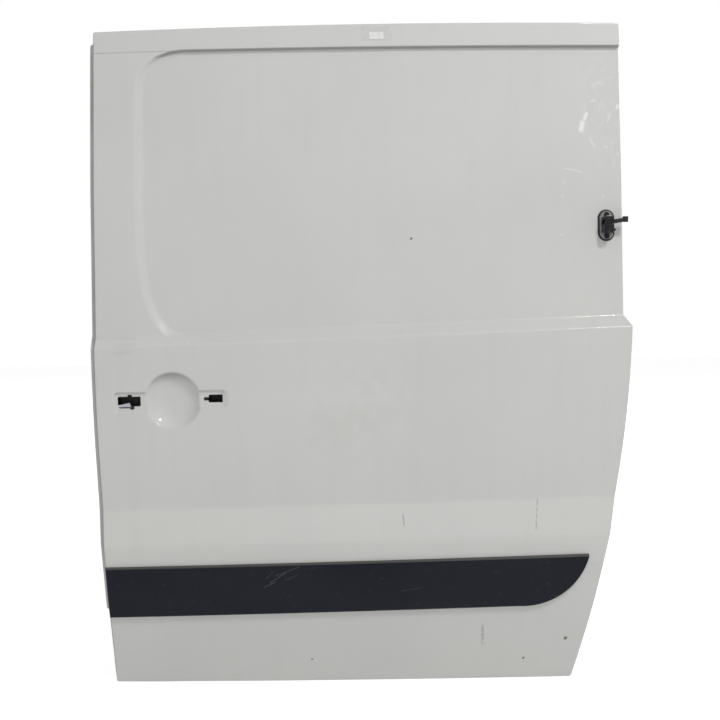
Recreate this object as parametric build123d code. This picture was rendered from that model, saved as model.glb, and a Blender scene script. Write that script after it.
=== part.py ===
"""Panel van sliding door: pressed outer skin, inner panel, handle seat, rollers, latches and centre hinge.

Door frame while modelling: x to the rear of the van, y inwards, z up from the bottom edge, all in mm.
Every piece is moved at the end so that the origin lies on the seat under the lower roller arm.
"""
import os
from math import atan, degrees

from build123d import *

# outline of the outer skin, seen from outside
FRONT_X = -530.0
REAR_X = 530.0
SHOULDER_X = 542.0
BOTTOM_REAR_X = 443.0
REAR_ARC_MID = (512.0, 372.0)
TOP_FRONT_Z = 1352.0
TOP_REAR_Z = 1356.0
TOP_ARCH = 5.5
OUTLINE_CORNER_R = 8.0

# section of the outer skin at the middle of the door: depth, height and bend radius of each corner
BOTTOM_CORNER = (70.0, -25.0)
TUCK = (33.0, 165.0, 1800.0)
LOWER_CREASE = (11.0, 322.0, 70.0)
UPPER_CREASE = (13.5, 399.0, 140.0)
BELLY = (-1.0, 570.0, 1500.0)
SHOULDER_LIP = (2.0, 738.0, 22.0)
SHOULDER_TOP = (18.0, 760.0, 22.0)
UPPER_BEND = (48.5, 1040.0, 2500.0)
STRIP_CREASE = (90.0, 1316.0, 60.0)
TOP_CORNER = (104.0, 1385.0)
WAIST_RISE = 15.0
CREASE_RISE = 8.5
PLAN_BOW = 6.0
BACK_Y = 260.0
SECTION_X = 610.0

# pressed recess of the blanked window, open to the rear
RECESS_FRONT_X = -441.0
RECESS_TOP_Z = 1316.0
RECESS_BOTTOM_Z = 752.0
RECESS_TOP_R = 74.0
RECESS_BOTTOM_R = 100.0
RECESS_DEPTH = 9.0
RECESS_TOP_DRAFT = 0.4
RECESS_FRONT_DRAFT = 1.2
RECESS_BOTTOM_DRAFT = 1.0
RECESS_REAR_R = 5.0
RECESS_SWING = 36.0

# sheet metal
SHEET = 1.4
HEM = 2.2
HEM_WIDTH = 14.0
SEALANT_GAP = 0.2

# handle seat: round cup with a pad and a slot on either side
CUP_X = -375.0
CUP_Z = 617.0
CUP_R = 57.5
CUP_FLOOR_R = 44.0
CUP_DEPTH = 20.0
CUP_FLOOR_BEND = 9.0
PAD_DEPTH = 4.5
PAD_CORNER_R = 8.0
FRONT_PAD = (-492.5, -425.0, 594.0, 634.0)
REAR_PAD = (-325.0, -269.0, 604.0, 637.0)
FRONT_SLOT = (-485.0, -440.0, 606.0, 626.0)
REAR_SLOT = (-303.0, -275.0, 612.0, 628.0)
SLOT_CORNER_R = 3.0
FRONT_NUB_UP = (-466.0, -456.0, 604.0, 630.0)
FRONT_NUB_DOWN = (-464.0, -452.0, 600.0, 608.0)
REAR_NUB = (-312.0, -300.0, 616.0, 624.0)
CARRIER_BACK_Y = 40.0
CARRIER_PLATE = 6.0
CARRIER_FRONT_X = -497.0
CARRIER_REAR_X = -262.0
CARRIER_BOTTOM_Z = 598.0
CARRIER_TOP_Z = 634.0
CARRIER_FRONT_FOOT = 57.0
CARRIER_REAR_FOOT = 48.0
POCKET_STEP = 1.5
SEAT_REACH = 40.0

# inner panel
WALL_INSET = 16.0
FLANGE_INSET = 4.0
INNER_LOW_Y = 96.0
INNER_WAIST_Z = 700.0
INNER_TOP_Y = 150.0
SEAL_LIP_X = -542.0
SEAL_LIP_BACK = 24.0
SEAL_LIP_LOW_Z = 165.0
SEAL_LIP_TOP_Z = 1335.0
SEAL_LIP_R = 5.0
WINDOW = (-415.0, 425.0, 800.0, 1270.0)
WINDOW_R = 70.0
FRONT_ACCESS = (-330.0, -20.0, 170.0, 560.0)
REAR_ACCESS = (50.0, 400.0, 170.0, 560.0)
ACCESS_R = 55.0
COLLAR = 9.0
HAND_HOLE = (-470.0, -390.0, 420.0, 500.0)
HAND_HOLE_R = 20.0
BEAD_WIDTH = 26.0
BEAD_HEIGHT = 6.0
WAIST_BEAD_Z = 622.0
WAIST_BEAD_LENGTH = 840.0
SILL_BEAD_Z = 125.0
SILL_BEAD_LENGTH = 620.0
MULLION_X = 15.0
MULLION_BEAD_Z = 365.0
MULLION_BEAD_LENGTH = 330.0
TRIM_HOLE_R = 4.0
TRIM_HOLE_X = 350.0
TRIM_HOLE_LOW_Z = 90.0
TRIM_HOLE_HIGH_Z = 585.0
PLUG_HEAD_R = 14.0
PLUG_HOLE_R = 10.0
PLUG_FIT = 0.05
PLUG_HEAD = 2.5
PLUG_SHANK = 6.0
PLUG_Z = 673.0
PLUG_X = (-120.0, 120.0, 330.0)

# stiffeners between the panels
BEAM_Z = 470.0
BEAM_HEIGHT = 58.0
BEAM_FRONT_Y = 26.0
BEAM_DEPTH = 26.0
BEAM_WALL = 2.0
WAIST_RAIL_Z = 715.0
WAIST_RAIL_HEIGHT = 44.0
WAIST_RAIL_FRONT_Y = 58.0
WAIST_RAIL_DEPTH = 30.0
FLUTTER_RAIL_Z = 1030.0
FLUTTER_RAIL_HEIGHT = 46.0
FLUTTER_RAIL_FRONT_Y = 74.0
FLUTTER_RAIL_DEPTH = 22.0

# side moulding
MOULD_FRONT_X = -529.0
MOULD_TIP_X = 464.0
MOULD_TOP_FRONT_Z = 270.0
MOULD_TOP_REAR_Z = 287.0
MOULD_LOW_FRONT_Z = 156.0
MOULD_LOW_REAR_Z = 172.0
MOULD_SWEEP_X = 325.0
MOULD_SWEEP_MID = (427.0, 211.0)
MOULD_PROUD = 10.0
MOULD_EDGE = 6.5
MOULD_EDGE_WIDTH = 3.0
MOULD_CORNER_R = 5.0

# latches, locators and stops on the shut faces
LATCH_PLATE = 3.0
LATCH_LAP = 7.0
LATCH_BODY = 42.0
LATCH_CLAW_DEPTH = 12.0
LATCH_CLAW_HEIGHT = 18.0
LATCH_FIT = 1.0
LATCH_HEIGHT = 92.0
LATCH_WIDTH = 34.0
FRONT_LATCH = (62.0, 560.0)
REAR_LATCH = (79.0, 860.0)
UPPER_LOCATOR = (98.0, 1020.0)
LOWER_LOCATOR = (64.0, 330.0)
LOCATOR_R = 8.0
LOCATOR_TIP_R = 4.5
LOCATOR_LENGTH = 20.0
LOCATOR_BASE = (30.0, 46.0)
LOCATOR_BASE_THICK = 3.0
UPPER_STOP = (116.0, 1180.0)
LOWER_STOP = (90.0, 990.0)
STOP_R = 10.0
STOP_HEIGHT = 11.0
STOP_TIP_R = 7.0

# lower roller arm, whose underside is the seat
ARM_X = -425.0
ARM_SEAT_Z = 60.0
ARM_LENGTH = 180.0
ARM_ROOT_WIDTH = 92.0
ARM_TIP_WIDTH = 66.0
ARM_PLATE = 6.0
ARM_CORNER_R = 10.0
ARM_BASE_HEIGHT = 84.0
ARM_BASE_RAISE = 4.0
ARM_BASE_THICK = 5.0
ARM_RIB_HEIGHT = 34.0
ARM_RIB_THICK = 5.0
ROLLER_R = 15.0
ROLLER_WIDTH = 13.0
ROLLER_PIN_R = 5.0
ROLLER_FIT = 0.05
ROLLER_LIFT = 2.0
ROLLER_HEAD = 3.0
ROLLER_SPACING = 42.0
ROLLER_TIP = 20.0
LOAD_ROLLER_R = 18.0
LOAD_ROLLER_WIDTH = 11.0
LOAD_ROLLER_BACK = 72.0
LOAD_POST_THICK = 6.0
LOAD_POST_WIDTH = 24.0
ROLLER_CHAMFER = 1.5

# upper roller bracket
TOP_ARM_X = -440.0
TOP_ARM_Z = 1298.0
TOP_ARM_BASE = (84.0, 40.0)
TOP_ARM_THICK = 5.0
TOP_ARM_LENGTH = 74.0
TOP_ARM_WIDTH = 40.0

# centre hinge on the outside, near the rear edge
HINGE_X = 497.0
HINGE_Z = 954.0
GASKET_SIZE = (63.0, 33.0)
GASKET_THICK = 2.5
PLATE_SIZE = (57.0, 27.0)
PLATE_THICK = 2.5
PIN_STAND_OFF = 20.0
PIN_R = 4.0
PIN_HEAD_R = 6.0
PIN_HEAD = 2.0
PIN_FIT = 0.05
BAR_Z = 960.0
BAR_HEIGHT = 8.0
BAR_DEPTH = 8.0
BAR_CRANK = 16.0
BAR_RISE = 5.0
BAR_REACH = 33.0
BAR_BOSS_R = 8.0
BAR_EYE_R = 5.5
BAR_EYE_HEIGHT = 11.0
BAR_EYE_BORE_R = 2.75
EAR_GAP = 0.5
UPPER_EAR = 6.0
LOWER_EAR = 16.0
EAR_R = 10.0
YOKE_BACK = 3.5
YOKE_FOOT = (
    (-8.0, 8.0), (7.0, 8.0), (9.0, 0.0), (11.0, -6.0), (17.0, -9.0), (15.5, -12.5),
    (8.0, -12.0), (2.0, -19.5), (-2.0, -19.5), (-8.0, -12.5),
)
YOKE_FOOT_THICK = 7.0

REACH = 400.0


def station_rise(x, rise):
    """Height that a line of the skin gains at x, from its slope along the door."""
    return rise * x / REAR_X


def bow(x):
    """Depth that the plan curve of the skin gains at x."""
    return PLAN_BOW * (x / REAR_X) ** 2


def section_corners(x, sink):
    """Corners (depth, height) of the skin's section at x, with the upper face sunk by sink."""
    waist = station_rise(x, WAIST_RISE)
    crease = station_rise(x, CREASE_RISE)
    corners = [
        BOTTOM_CORNER,
        TUCK[:2],
        (LOWER_CREASE[0], LOWER_CREASE[1] + crease),
        (UPPER_CREASE[0], UPPER_CREASE[1] + crease),
        BELLY[:2],
        (SHOULDER_LIP[0], SHOULDER_LIP[1] + waist),
        (SHOULDER_TOP[0] + sink, SHOULDER_TOP[1] + waist),
        (UPPER_BEND[0] + sink, UPPER_BEND[1]),
        (STRIP_CREASE[0] + sink, STRIP_CREASE[1]),
        (TOP_CORNER[0] + sink, TOP_CORNER[1]),
    ]
    return [(depth + bow(x), height) for depth, height in corners]


def face_y(x, z, sink=0.0):
    """Depth of the skin's face at x and z, on the straight runs between the corners."""
    corners = section_corners(x, sink)
    for (y0, z0), (y1, z1) in zip(corners, corners[1:]):
        if z0 <= z <= z1:
            return y0 + (y1 - y0) * (z - z0) / (z1 - z0)
    raise ValueError("height is outside the skin's section")


def behind_skin(sink):
    """Solid that fills everything behind the skin's face, lofted through three sections."""
    bends = [
        corner[2]
        for corner in (
            TUCK, LOWER_CREASE, UPPER_CREASE, BELLY, SHOULDER_LIP, SHOULDER_TOP, UPPER_BEND, STRIP_CREASE,
        )
    ]
    faces = []
    for x in (-SECTION_X, 0.0, SECTION_X):
        corners = section_corners(x, sink)
        front = FilletPolyline(*corners, radius=bends)
        back = Polyline(
            corners[-1], (BACK_Y, corners[-1][1]), (BACK_Y, corners[0][1]), corners[0]
        )
        plane = Plane(origin=(x, 0, 0), x_dir=(0, 1, 0), z_dir=(1, 0, 0))
        faces.append(plane * make_face([*front.edges(), *back.edges()]))
    return loft(faces)


def prism(sketch):
    """Solid that stands on a front-view sketch and runs through the whole door."""
    return extrude(Plane.XZ * sketch, amount=REACH, both=True)


def slab(x0, x1, y0, y1, z0, z1):
    """Box between two corners."""
    return Pos((x0 + x1) / 2, (y0 + y1) / 2, (z0 + z1) / 2) * Box(x1 - x0, y1 - y0, z1 - z0)


def rounded(x0, x1, z0, z1, radius):
    """Front-view rectangle with round corners."""
    return Pos((x0 + x1) / 2, (z0 + z1) / 2) * RectangleRounded(x1 - x0, z1 - z0, radius)


def peg(x, y, z, radius, length, axis):
    """Cylinder that starts at a point and runs along an axis."""
    return Plane(origin=(x, y, z), z_dir=axis) * extrude(Circle(radius), length)


def door_outline():
    """Front view of the skin: straight front edge, arched top, and a rear edge swept under the shoulder."""
    lip_z = SHOULDER_LIP[1] + WAIST_RISE
    top_z = SHOULDER_TOP[1] + WAIST_RISE
    mid_z = (TOP_FRONT_Z + TOP_REAR_Z) / 2 + TOP_ARCH
    edges = [
        Line((FRONT_X, 0), (FRONT_X, TOP_FRONT_Z)),
        ThreePointArc((FRONT_X, TOP_FRONT_Z), (0, mid_z), (REAR_X, TOP_REAR_Z)),
        Line((REAR_X, TOP_REAR_Z), (REAR_X, top_z)),
        Line((REAR_X, top_z), (SHOULDER_X, lip_z)),
        ThreePointArc((SHOULDER_X, lip_z), REAR_ARC_MID, (BOTTOM_REAR_X, 0)),
        Line((BOTTOM_REAR_X, 0), (FRONT_X, 0)),
    ]
    face = make_face(edges)
    return fillet(face.vertices(), OUTLINE_CORNER_R)


def inset(sketch, amount):
    """Front-view sketch drawn in from its edge by an even amount."""
    return offset(sketch, amount=-amount, kind=Kind.TANGENT)


def recess_tool(recess_floor):
    """Space of the blanked window: a drafted prism square to the leaning upper face, as deep as the floor."""
    lean = (STRIP_CREASE[0] - SHOULDER_TOP[0]) / (STRIP_CREASE[1] - SHOULDER_TOP[1])
    mid_z = (RECESS_TOP_Z + RECESS_BOTTOM_Z) / 2
    chord_y = SHOULDER_TOP[0] + lean * (mid_z - SHOULDER_TOP[1])
    depth = (face_y(0.0, mid_z) + chord_y + RECESS_DEPTH) / 2
    plane = Plane(origin=(0, depth, mid_z), x_dir=(1, 0, 0), z_dir=(0, -1, 0)).rotated(
        (-degrees(atan(lean)), 0, 0)
    )
    half_z = (RECESS_TOP_Z - RECESS_BOTTOM_Z) / 2
    faces = []
    for step in (-RECESS_SWING, RECESS_SWING):
        front_x = RECESS_FRONT_X - step * RECESS_FRONT_DRAFT
        top = half_z + step * RECESS_TOP_DRAFT
        bottom = -half_z - step * RECESS_BOTTOM_DRAFT
        corners = [
            (SECTION_X, bottom + station_rise(SECTION_X, WAIST_RISE)),
            (SECTION_X, top),
            (front_x, top),
            (front_x, bottom + station_rise(RECESS_FRONT_X, WAIST_RISE)),
        ]
        bends = [
            RECESS_REAR_R, RECESS_REAR_R,
            RECESS_TOP_R + step * RECESS_TOP_DRAFT, RECESS_BOTTOM_R + step * RECESS_FRONT_DRAFT,
        ]
        edge = FilletPolyline(*corners, radius=bends, close=True)
        faces.append(plane.offset(step) * make_face(edge.edges()))
    return loft(faces, ruled=True) - recess_floor


def cup_tool(grow):
    """Round dish of the handle seat, larger by grow all over."""
    y = face_y(CUP_X, CUP_Z)
    slope = (CUP_R - CUP_FLOOR_R) / CUP_DEPTH
    depth = CUP_DEPTH + grow
    floor_r = CUP_FLOOR_R + grow
    rim_r = floor_r + slope * (depth + SEAT_REACH)
    dish = Polyline((0, -SEAT_REACH), (rim_r, -SEAT_REACH), (floor_r, depth), (0, depth), close=True)
    face = make_face(dish)
    corner = face.vertices().sort_by_distance((floor_r, depth))[0]
    face = fillet(corner, CUP_FLOOR_BEND + grow)
    plane = Plane(origin=(CUP_X, y, CUP_Z), x_dir=(1, 0, 0), z_dir=(0, 0, 1))
    return revolve(plane * face, Axis((CUP_X, y, CUP_Z), (0, 1, 0)))


def pad_tool(pad, grow):
    """Shallow pad beside the cup, with round corners, larger by grow all over."""
    x0, x1, z0, z1 = pad
    depth = face_y((x0 + x1) / 2, CUP_Z) + PAD_DEPTH + grow
    sketch = rounded(x0 - grow, x1 + grow, z0 - grow, z1 + grow, PAD_CORNER_R + grow)
    return extrude(Plane.XZ.offset(-depth) * sketch, SEAT_REACH)


def pad_back(pad):
    """Depth of the back of a pad's sheet."""
    return face_y((pad[0] + pad[1]) / 2, CUP_Z) + PAD_DEPTH + SHEET


def slot_tools():
    """Cut-outs of the two slots that the handle hooked into."""
    front = rounded(*FRONT_SLOT, SLOT_CORNER_R)
    front += rounded(*FRONT_NUB_UP, SLOT_CORNER_R)
    front += rounded(*FRONT_NUB_DOWN, SLOT_CORNER_R)
    rear = rounded(*REAR_SLOT, SLOT_CORNER_R) + rounded(*REAR_NUB, SLOT_CORNER_R)
    return prism(front), prism(rear)


outline = door_outline()
recess_floor = behind_skin(RECESS_DEPTH)
body = behind_skin(0.0) - recess_tool(recess_floor)
hem_back = SHEET + HEM
flange_front = hem_back + SEALANT_GAP
front_slot, rear_slot = slot_tools()
pads = (FRONT_PAD, REAR_PAD)


def seat_hollows(grow):
    """Cup and pads as one list of tools."""
    return [cup_tool(grow), *[pad_tool(pad, grow) for pad in pads]]


def outer_skin():
    """Pressed skin with a hemmed edge: the face trimmed to the outline, hollowed from behind."""
    seat = slab(
        CARRIER_FRONT_X - HEM_WIDTH, CARRIER_REAR_X + HEM_WIDTH,
        -CARRIER_BACK_Y, CARRIER_BACK_Y,
        CUP_Z - CUP_R - HEM_WIDTH, CUP_Z + CUP_R + HEM_WIDTH,
    )
    face = (body & prism(outline)) - seat_hollows(0.0)
    inside = (Pos(0, SHEET, 0) * body) & prism(inset(outline, HEM_WIDTH))
    behind_hem = (Pos(0, hem_back, 0) * body) - seat
    return face - (inside - seat_hollows(SHEET)) - behind_hem - front_slot - rear_slot


def inner_y(z):
    """Depth of the inner panel's face at z."""
    lean = (INNER_TOP_Y - INNER_LOW_Y) / (TOP_REAR_Z - INNER_WAIST_Z)
    return INNER_LOW_Y + max(0.0, z - INNER_WAIST_Z) * lean


def sheet_behind(depth):
    """One sheet's thickness of the skin's own shape, at a depth behind its face."""
    return (Pos(0, depth, 0) * body) - (Pos(0, depth + SHEET, 0) * body)


def before_inner_face(shift):
    """Solid in front of the inner panel's face, moved outwards by shift."""
    top_z = TOP_REAR_Z + REACH
    corners = [
        (-REACH, -REACH),
        (inner_y(0.0) - shift, -REACH),
        (inner_y(0.0) - shift, INNER_WAIST_Z),
        (inner_y(top_z) - shift, top_z),
        (-REACH, top_z),
    ]
    plane = Plane(origin=(0, 0, 0), x_dir=(0, 1, 0), z_dir=(1, 0, 0))
    return extrude(plane * make_face(Polyline(*corners, close=True)), SECTION_X, both=True)


def bead(x, z, length, turn):
    """Pressed bead on the lower face: the raised solid and the hollow behind it."""
    slots = (
        (SlotOverall(length, BEAD_WIDTH), BEAD_HEIGHT),
        (SlotOverall(length - 2 * SHEET, BEAD_WIDTH - 2 * SHEET), BEAD_HEIGHT - SHEET),
    )
    back = INNER_LOW_Y - SHEET
    plane = Plane(origin=(x, back, z), x_dir=(1, 0, 0), z_dir=(0, 1, 0))
    return [extrude(plane * Rot(0, 0, turn) * slot, height + SHEET) for slot, height in slots]


def latch_hole(wall_x, spot):
    """Opening in a shut face that a latch passes through."""
    y, z = spot
    half = LATCH_BODY
    return slab(
        wall_x - half, wall_x + half, y - LATCH_WIDTH / 2, y + LATCH_WIDTH / 2,
        z - LATCH_HEIGHT / 2, z + LATCH_HEIGHT / 2,
    )


def inner_panel():
    """Pressed tub with a flange on the hem, a seal lip in front, beads, and cut-outs with turned-in collars."""
    hollow = prism(inset(outline, WALL_INSET + SHEET))
    tub = prism(inset(outline, WALL_INSET)) & (Pos(0, flange_front, 0) * body) & before_inner_face(0.0)
    panel = tub - (hollow & before_inner_face(SHEET))
    ring = prism(inset(outline, FLANGE_INSET)) - hollow
    panel = panel + (ring & sheet_behind(flange_front))
    lip = rounded(SEAL_LIP_X, front_wall_x + SHEET / 2, SEAL_LIP_LOW_Z, SEAL_LIP_TOP_Z, SEAL_LIP_R)
    panel = panel + (prism(lip) & sheet_behind(SEAL_LIP_BACK))
    beads = [
        bead(0.0, WAIST_BEAD_Z, WAIST_BEAD_LENGTH, 0.0),
        bead(0.0, SILL_BEAD_Z, SILL_BEAD_LENGTH, 0.0),
        bead(MULLION_X, MULLION_BEAD_Z, MULLION_BEAD_LENGTH, 90.0),
    ]
    for raised, hollow_behind in beads:
        panel = panel + raised - hollow_behind
    cuts = rounded(*WINDOW, WINDOW_R) + rounded(*FRONT_ACCESS, ACCESS_R) + rounded(*REAR_ACCESS, ACCESS_R)
    panel = panel + (prism(offset(cuts, amount=SHEET)) & (before_inner_face(0.0) - before_inner_face(COLLAR)))
    cuts += rounded(*HAND_HOLE, HAND_HOLE_R)
    for x in (-TRIM_HOLE_X, TRIM_HOLE_X):
        for z in (TRIM_HOLE_LOW_Z, TRIM_HOLE_HIGH_Z):
            cuts += Pos(x, z) * Circle(TRIM_HOLE_R)
    for x in PLUG_X:
        cuts += Pos(x, PLUG_Z) * Circle(PLUG_HOLE_R)
    return panel - prism(cuts) - latch_hole(front_wall_x, FRONT_LATCH) - latch_hole(rear_wall_x, REAR_LATCH)


def tube_between_walls(z, height, front_y, depth):
    """Box-section stiffener that runs from one shut face to the other."""
    outer = slab(-SECTION_X, SECTION_X, front_y, front_y + depth, z - height / 2, z + height / 2)
    bore = slab(
        -SECTION_X, SECTION_X, front_y + BEAM_WALL, front_y + depth - BEAM_WALL,
        z - height / 2 + BEAM_WALL, z + height / 2 - BEAM_WALL,
    )
    return (outer - bore) & prism(inset(outline, WALL_INSET + SHEET))


def grown(slot):
    """Front-view extents of a slot, let out by the step between skin and carrier."""
    x0, x1, z0, z1 = slot
    return x0 - POCKET_STEP, x1 + POCKET_STEP, z0 - POCKET_STEP, z1 + POCKET_STEP


def handle_carrier():
    """Moulded bridge behind the cup, with a foot against the back of each pad."""
    plate_y = CARRIER_BACK_Y - CARRIER_PLATE
    bridge = slab(CARRIER_FRONT_X, CARRIER_REAR_X, plate_y, CARRIER_BACK_Y, CARRIER_BOTTOM_Z, CARRIER_TOP_Z)
    front = slab(
        CARRIER_FRONT_X, CARRIER_FRONT_X + CARRIER_FRONT_FOOT, pad_back(FRONT_PAD), plate_y,
        CARRIER_BOTTOM_Z, CARRIER_TOP_Z,
    )
    rear = slab(
        CARRIER_REAR_X - CARRIER_REAR_FOOT, CARRIER_REAR_X, pad_back(REAR_PAD), plate_y,
        CARRIER_BOTTOM_Z, CARRIER_TOP_Z,
    )
    pockets = prism(rounded(*grown(FRONT_SLOT), SLOT_CORNER_R) + rounded(*grown(REAR_SLOT), SLOT_CORNER_R))
    return bridge + (front + rear - pockets)


def side_moulding():
    """Plastic strip along the lower skin, with a thin edge and a rear end swept up to a tip."""
    edges = [
        Line((MOULD_FRONT_X, MOULD_TOP_FRONT_Z), (MOULD_TIP_X, MOULD_TOP_REAR_Z)),
        ThreePointArc((MOULD_TIP_X, MOULD_TOP_REAR_Z), MOULD_SWEEP_MID, (MOULD_SWEEP_X, MOULD_LOW_REAR_Z)),
        Line((MOULD_SWEEP_X, MOULD_LOW_REAR_Z), (MOULD_FRONT_X, MOULD_LOW_FRONT_Z)),
        Line((MOULD_FRONT_X, MOULD_LOW_FRONT_Z), (MOULD_FRONT_X, MOULD_TOP_FRONT_Z)),
    ]
    face = make_face(edges)
    ends = face.vertices().sort_by(Axis.X)
    face = fillet([ends[0], ends[1], ends[-1]], MOULD_CORNER_R)
    skin = Pos(0, -SEALANT_GAP, 0) * body
    low = prism(face) & ((Pos(0, -MOULD_EDGE, 0) * body) - skin)
    high = prism(inset(face, MOULD_EDGE_WIDTH)) & ((Pos(0, -MOULD_PROUD, 0) * body) - skin)
    return low + high


def latch(wall_x, spot, outward):
    """Latch: a plate on the outside of the shut face, a housing through it and the claw's notch."""
    y, z = spot
    half_y = LATCH_WIDTH / 2
    half_z = LATCH_HEIGHT / 2
    plate_x = sorted((wall_x, wall_x + outward * LATCH_PLATE))
    body_x = sorted((wall_x, wall_x - outward * LATCH_BODY))
    notch_x = sorted((wall_x + outward * LATCH_PLATE, wall_x - outward * LATCH_CLAW_DEPTH))
    plate = slab(
        *plate_x, y - half_y - LATCH_LAP, y + half_y + LATCH_LAP, z - half_z - LATCH_LAP, z + half_z + LATCH_LAP
    )
    housing = slab(
        *body_x, y - half_y + LATCH_FIT, y + half_y - LATCH_FIT, z - half_z + LATCH_FIT, z + half_z - LATCH_FIT
    )
    notch = slab(*notch_x, y - half_y, y + half_y, z - LATCH_CLAW_HEIGHT / 2, z + LATCH_CLAW_HEIGHT / 2)
    return plate + housing - notch


def locator(spot):
    """Tapered pin on a base plate that centres the door at its front edge."""
    y, z = spot
    wide, tall = LOCATOR_BASE
    face_x = front_wall_x - LOCATOR_BASE_THICK
    base = slab(face_x, front_wall_x, y - wide / 2, y + wide / 2, z - tall / 2, z + tall / 2)
    pin = Plane(origin=(face_x, y, z), z_dir=(-1, 0, 0)) * Pos(0, 0, LOCATOR_LENGTH / 2) * Cone(
        LOCATOR_R, LOCATOR_TIP_R, LOCATOR_LENGTH
    )
    return base + pin


def bump_stop(spot):
    """Rubber stop on the rear shut face."""
    y, z = spot
    plane = Plane(origin=(rear_wall_x, y, z), z_dir=(1, 0, 0))
    return plane * Pos(0, 0, STOP_HEIGHT / 2) * Cone(STOP_R, STOP_TIP_R, STOP_HEIGHT)


def blanking_plug(x):
    """Press-in plug that closes a hole of the inner panel."""
    head = peg(x, INNER_LOW_Y, PLUG_Z, PLUG_HEAD_R, PLUG_HEAD, (0, 1, 0))
    return head + peg(x, INNER_LOW_Y, PLUG_Z, PLUG_HOLE_R - PLUG_FIT, PLUG_SHANK, (0, -1, 0))


def roller_pin(x, y, z, width, axis):
    """Headed pin with a thrust shoulder that carries one roller."""
    step = Vector(*axis)
    start = Vector(x, y, z)
    bore_at = start + step * ROLLER_LIFT
    head_at = bore_at + step * width
    pin = peg(*start, ROLLER_PIN_R + ROLLER_LIFT, ROLLER_LIFT, axis)
    pin += peg(*start, ROLLER_PIN_R, ROLLER_LIFT + width + ROLLER_HEAD, axis)
    return pin + peg(*head_at, ROLLER_PIN_R + ROLLER_LIFT, ROLLER_HEAD, axis)


def roller(x, y, z, radius, width, axis):
    """Plastic roller with broken edges, bored for its pin."""
    start = Vector(x, y, z) + Vector(*axis) * ROLLER_LIFT
    tyre = peg(*start, radius, width, axis)
    tyre = chamfer(tyre.edges().filter_by(GeomType.CIRCLE), ROLLER_CHAMFER)
    return tyre - peg(*start, ROLLER_PIN_R + ROLLER_FIT, width, axis)


def lower_roller_arm():
    """Bolted bracket with a flat arm, two side ribs, a post for the load roller and two guide pins."""
    half = ARM_ROOT_WIDTH / 2
    base = slab(
        ARM_X - half, ARM_X + half, INNER_LOW_Y, arm_root_y,
        ARM_SEAT_Z + ARM_BASE_RAISE, ARM_SEAT_Z + ARM_BASE_RAISE + ARM_BASE_HEIGHT,
    )
    tip = ARM_TIP_WIDTH / 2
    corners = [
        (ARM_X - half, arm_root_y), (ARM_X + half, arm_root_y),
        (ARM_X + tip, arm_tip_y), (ARM_X - tip, arm_tip_y),
    ]
    plan = make_face(Polyline(*corners, close=True))
    plan = fillet(plan.vertices().sort_by(Axis.Y)[-2:], ARM_CORNER_R)
    plate = extrude(Plane.XY.offset(ARM_SEAT_Z) * plan, ARM_PLATE)
    rib_face = make_face(
        Polyline(
            (arm_root_y, arm_top_z), (arm_root_y + ARM_LENGTH / 2, arm_top_z),
            (arm_root_y, arm_top_z + ARM_RIB_HEIGHT), close=True,
        )
    )
    arm = base + plate
    for x in (ARM_X - tip, ARM_X + tip - ARM_RIB_THICK):
        arm += extrude(Plane(origin=(x, 0, 0), x_dir=(0, 1, 0), z_dir=(1, 0, 0)) * rib_face, ARM_RIB_THICK)
    for x in guide_x:
        arm += roller_pin(x, guide_y, arm_top_z, ROLLER_WIDTH, (0, 0, 1))
    arm += slab(
        ARM_X - LOAD_POST_WIDTH / 2, ARM_X + LOAD_POST_WIDTH / 2, load_y - LOAD_POST_THICK, load_y,
        arm_top_z, load_z + LOAD_POST_WIDTH / 2,
    )
    return arm + roller_pin(ARM_X, load_y, load_z, LOAD_ROLLER_WIDTH, (0, 1, 0))


def upper_roller_bracket():
    """Leaning base plate with a flat arm and one guide pin."""
    lean = (INNER_TOP_Y - INNER_LOW_Y) / (TOP_REAR_Z - INNER_WAIST_Z)
    plane = Plane(origin=(TOP_ARM_X, inner_y(TOP_ARM_Z), TOP_ARM_Z), x_dir=(1, 0, 0), z_dir=(0, 1, -lean))
    base = extrude(plane * Rectangle(*TOP_ARM_BASE), TOP_ARM_THICK)
    arm = slab(
        TOP_ARM_X - TOP_ARM_WIDTH / 2, TOP_ARM_X + TOP_ARM_WIDTH / 2,
        inner_y(TOP_ARM_Z) + TOP_ARM_THICK / 2, top_tip_y, TOP_ARM_Z - TOP_ARM_THICK, TOP_ARM_Z,
    )
    ends = arm.edges().filter_by(Axis.Z).sort_by(Axis.Y)[-2:]
    arm = fillet(ends, ARM_CORNER_R)
    return base + arm + roller_pin(TOP_ARM_X, top_tip_y - ROLLER_TIP, TOP_ARM_Z, ROLLER_WIDTH, (0, 0, 1))


def hinge_plane():
    """Plane on the recessed skin under the centre hinge, square to its lean and its bow."""
    lean = (UPPER_BEND[0] - SHOULDER_TOP[0]) / (UPPER_BEND[1] - SHOULDER_TOP[1])
    turn = 2 * PLAN_BOW * HINGE_X / REAR_X ** 2
    origin = (HINGE_X, hinge_face_y - SEALANT_GAP, HINGE_Z)
    return Plane(origin=origin, x_dir=(1, turn, 0), z_dir=(turn, -1, lean))


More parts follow.
